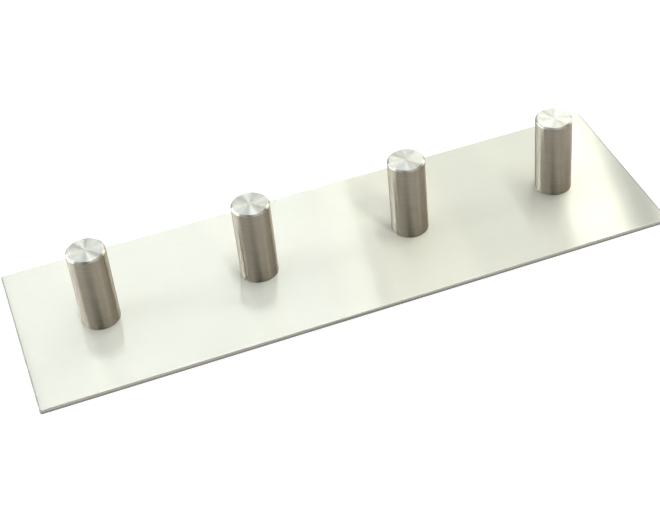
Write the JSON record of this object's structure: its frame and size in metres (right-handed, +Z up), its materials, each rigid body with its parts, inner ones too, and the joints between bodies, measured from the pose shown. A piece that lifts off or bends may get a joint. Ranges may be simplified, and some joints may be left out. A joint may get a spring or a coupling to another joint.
{
  "type": "wall hook rack",
  "caption": "Self-adhesive wall rack: a thin flat rectangular brushed steel plate with a row of plain round turned pegs, screwed on from behind.",
  "frame": {"origin": "middle of the wall side of the foam tape, on the wall plane, at mid length and mid height of the plate", "axes": "+X along the plate, to the right as seen from the room; +Y into the wall, so the pegs point along -Y; +Z up"},
  "size_m": [0.272, 0.039, 0.085],
  "materials": {
    "brushed_plate": "stainless steel brushed along its length, satin",
    "turned_peg": "stainless steel turned on a lathe, fine rings round the side and on the end, satin",
    "screw": "plain zinc-plated steel",
    "foam_tape": "closed-cell acrylic foam with a tacky satin face"
  },
  "bodies": {
    "root": {"backplate": "brushed_plate", "peg_1": "turned_peg", "peg_2": "turned_peg", "peg_3": "turned_peg", "peg_4": "turned_peg", "peg_screw_1": "screw", "peg_screw_2": "screw", "peg_screw_3": "screw", "peg_screw_4": "screw", "tape_strip_1": "foam_tape", "tape_strip_2": "foam_tape", "tape_strip_3": "foam_tape", "tape_strip_4": "foam_tape", "tape_strip_5": "foam_tape"}
  },
  "joints": []
}
